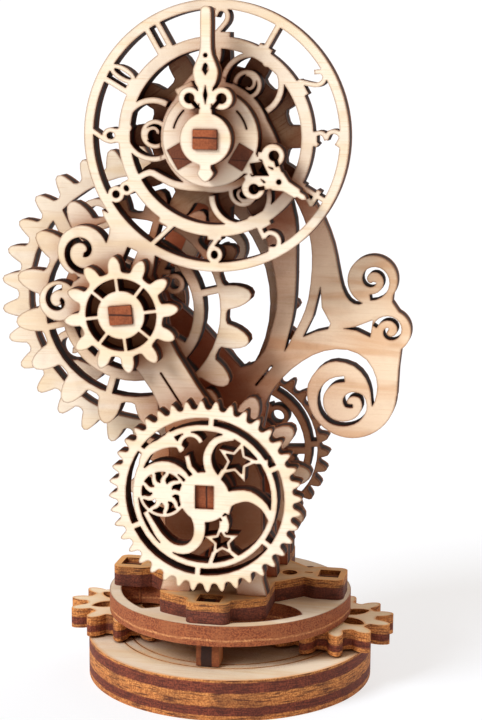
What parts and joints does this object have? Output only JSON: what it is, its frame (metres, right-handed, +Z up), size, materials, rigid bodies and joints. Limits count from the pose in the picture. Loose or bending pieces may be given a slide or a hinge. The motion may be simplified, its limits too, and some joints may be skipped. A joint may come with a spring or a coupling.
{
  "type": "wooden mechanical clock puzzle",
  "caption": "Tabletop 3-D jigsaw of laser-cut plywood: a skeleton clock dial with hands, exposed gear train and scrolled frames on a round turning base.",
  "frame": {"origin": "centre of the underside of the round base", "axes": "+Z up through the turntable, -Y towards the dial's face, +X to the right when facing the dial"},
  "size_m": [0.0821, 0.0568, 0.1321],
  "materials": {
    "birch_plate": "bare laser-cut birch plywood with scorched edges",
    "birch_base": "bare laser-cut birch plywood with scorched edges",
    "birch_strip": "narrow plywood strip, scorched on its cut faces"
  },
  "bodies": {
    "base": {"base_disc_lower": "birch_base", "base_disc_upper": "birch_base", "fixed_centre_gear": "birch_base", "turntable_pin": "birch_strip"},
    "turntable": {"platform": "birch_base", "hub_plate": "birch_base", "post_front": "birch_strip", "post_back": "birch_strip", "post_left": "birch_strip", "post_right": "birch_strip", "front_frame": "birch_plate", "scroll_frame": "birch_plate", "back_frame": "birch_plate", "rear_stand": "birch_plate"},
    "side_gear_right_body": {"side_gear_right": "birch_base"},
    "side_gear_left_body": {"side_gear_left": "birch_base"},
    "left_arbor": {"left_axle": "birch_strip", "front_pinion": "birch_plate", "large_gear": "birch_plate", "wide_gear": "birch_plate", "left_spacer": "birch_plate", "left_end_ring": "birch_plate"},
    "lower_arbor": {"lower_axle": "birch_strip", "star_gear": "birch_plate", "lower_drive_gear": "birch_plate", "rear_disc_gear": "birch_plate", "lower_spacer_front": "birch_plate", "lower_spacer_middle": "birch_plate", "lower_spacer_inner": "birch_plate", "lower_spacer_rear": "birch_plate"},
    "hour_arbor": {"hour_gear": "birch_plate", "hour_hand": "birch_plate", "hour_tab_top": "birch_strip", "hour_tab_left": "birch_strip", "hour_tab_right": "birch_strip"},
    "minute_arbor": {"minute_axle": "birch_strip", "minute_hand": "birch_plate", "minute_pinion": "birch_plate", "dial_spacer": "birch_plate", "dial_end_ring": "birch_plate"}
  },
  "joints": [
    {"name": "turntable_spin", "type": "hinge", "parent": "base", "child": "turntable", "pos_m": [0, 0, 0.015], "axis": [0, 0, 1], "continuous": true},
    {"name": "side_gear_right_spin", "type": "hinge", "parent": "turntable", "child": "side_gear_right_body", "pos_m": [0.02, 0, 0.0105], "axis": [0, 0, 1], "continuous": true},
    {"name": "side_gear_left_spin", "type": "hinge", "parent": "turntable", "child": "side_gear_left_body", "pos_m": [-0.02, 0, 0.0105], "axis": [0, 0, 1], "continuous": true},
    {"name": "left_spin", "type": "hinge", "parent": "turntable", "child": "left_arbor", "pos_m": [-0.01677, 0, 0.0748], "axis": [0, 1, 0], "continuous": true},
    {"name": "lower_spin", "type": "hinge", "parent": "turntable", "child": "lower_arbor", "pos_m": [0, 0, 0.0421], "axis": [0, 1, 0], "continuous": true},
    {"name": "hour_spin", "type": "hinge", "parent": "turntable", "child": "hour_arbor", "pos_m": [0, 0, 0.1075], "axis": [0, 1, 0], "continuous": true},
    {"name": "minute_spin", "type": "hinge", "parent": "turntable", "child": "minute_arbor", "pos_m": [0, 0, 0.1075], "axis": [0, 1, 0], "continuous": true}
  ],
  "couplings": [
    {"joint": "side_gear_right_spin", "follows": "turntable_spin", "ratio": 0.75},
    {"joint": "side_gear_left_spin", "follows": "turntable_spin", "ratio": 0.75},
    {"joint": "lower_spin", "follows": "left_spin", "ratio": -1.3333},
    {"joint": "hour_spin", "follows": "left_spin", "ratio": -1.3333},
    {"joint": "minute_spin", "follows": "left_spin", "ratio": -3.4444}
  ]
}
